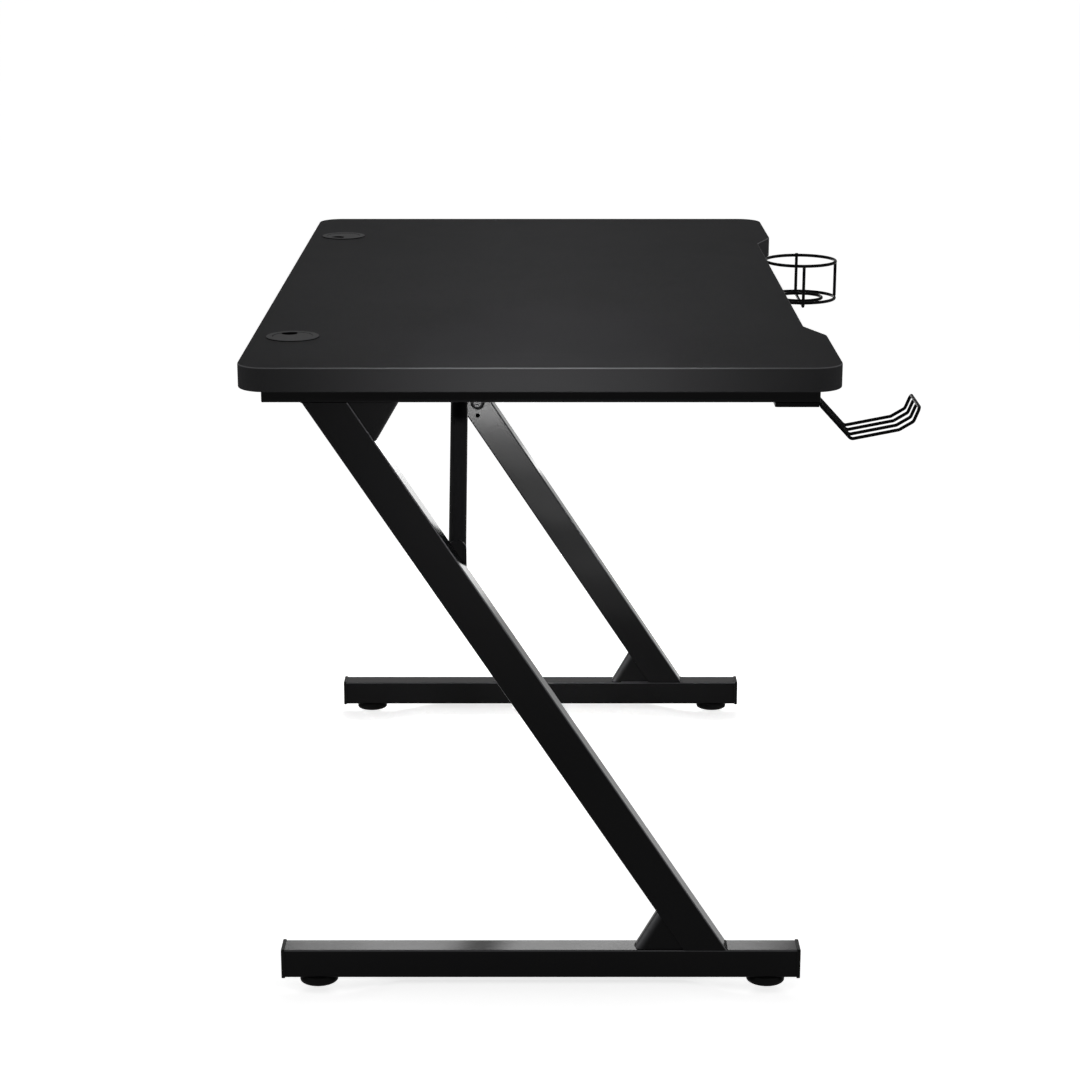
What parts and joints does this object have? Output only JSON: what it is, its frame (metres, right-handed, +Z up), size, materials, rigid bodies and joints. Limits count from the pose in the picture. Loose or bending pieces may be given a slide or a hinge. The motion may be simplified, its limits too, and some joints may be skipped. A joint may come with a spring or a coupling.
{
  "type": "gaming desk",
  "caption": "Gaming desk with a dark board on Z-shaped steel side frames, knee braces, levelling feet, turning cable grommets, a headphone hook and a wire cup holder.",
  "frame": {"origin": "on the floor under the middle of the whole box, hook and cup holder included", "axes": "+X to the user's right, +Y to the back, +Z up"},
  "size_m": [1.1, 0.7497, 0.7425],
  "materials": {
    "laminate": "satin charcoal laminate on board",
    "powder_coat": "smooth black powder coat on steel tube",
    "cap_plastic": "moulded black plastic",
    "pad_plastic": "moulded black plastic",
    "zinc_steel": "zinc plated",
    "black_fastener": "black oxide",
    "grommet_plastic": "moulded dark grey plastic, satin",
    "coated_wire": "black coated steel wire"
  },
  "bodies": {
    "desk": {"brace_bolts": "black_fastener", "crossbeam": "powder_coat", "crossbeam_bolts": "black_fastener", "cup_bottom_ring": "coated_wire", "cup_bracket": "coated_wire", "cup_cradle": "coated_wire", "cup_front_post": "coated_wire", "cup_inner_ring": "coated_wire", "cup_screws": "black_fastener", "cup_top_ring": "coated_wire", "desktop": "laminate", "desktop_screws": "zinc_steel", "foot_nuts": "zinc_steel", "hook_hoop": "coated_wire", "hook_inner_wires": "coated_wire", "hook_plate": "coated_wire", "hook_screws": "black_fastener", "left_brace": "powder_coat", "left_brace_tabs": "powder_coat", "left_crossbeam_end_plate": "powder_coat", "left_foot_bar": "powder_coat", "left_foot_bar_caps": "cap_plastic", "left_foot_gusset": "powder_coat", "left_grommet_sleeve": "grommet_plastic", "left_leg": "powder_coat", "left_top_bar": "powder_coat", "left_top_bar_caps": "cap_plastic", "left_top_gusset": "powder_coat", "right_brace": "powder_coat", "right_brace_tabs": "powder_coat", "right_crossbeam_end_plate": "powder_coat", "right_foot_bar": "powder_coat", "right_foot_bar_caps": "cap_plastic", "right_foot_gusset": "powder_coat", "right_grommet_sleeve": "grommet_plastic", "right_leg": "powder_coat", "right_top_bar": "powder_coat", "right_top_bar_caps": "cap_plastic", "right_top_gusset": "powder_coat", "weld_nuts": "zinc_steel"},
    "left_front_foot": {"left_front_foot_pad": "pad_plastic", "left_front_foot_stud": "zinc_steel"},
    "left_rear_foot": {"left_rear_foot_pad": "pad_plastic", "left_rear_foot_stud": "zinc_steel"},
    "right_front_foot": {"right_front_foot_pad": "pad_plastic", "right_front_foot_stud": "zinc_steel"},
    "right_rear_foot": {"right_rear_foot_pad": "pad_plastic", "right_rear_foot_stud": "zinc_steel"},
    "left_cable_cap": {"left_grommet_cap": "grommet_plastic"},
    "right_cable_cap": {"right_grommet_cap": "grommet_plastic"}
  },
  "joints": [
    {"name": "left_front_foot_screw", "type": "slide", "parent": "desk", "child": "left_front_foot", "axis": [0, 0, -1], "range_m": [0, 0.01]},
    {"name": "left_rear_foot_screw", "type": "slide", "parent": "desk", "child": "left_rear_foot", "axis": [0, 0, -1], "range_m": [0, 0.01]},
    {"name": "right_front_foot_screw", "type": "slide", "parent": "desk", "child": "right_front_foot", "axis": [0, 0, -1], "range_m": [0, 0.01]},
    {"name": "right_rear_foot_screw", "type": "slide", "parent": "desk", "child": "right_rear_foot", "axis": [0, 0, -1], "range_m": [0, 0.01]},
    {"name": "left_cap_turn", "type": "hinge", "parent": "desk", "child": "left_cable_cap", "pos_m": [-0.377, 0.32885, 0.7413], "axis": [0, 0, 1], "continuous": true},
    {"name": "right_cap_turn", "type": "hinge", "parent": "desk", "child": "right_cable_cap", "pos_m": [0.377, 0.32885, 0.7413], "axis": [0, 0, 1], "continuous": true}
  ]
}
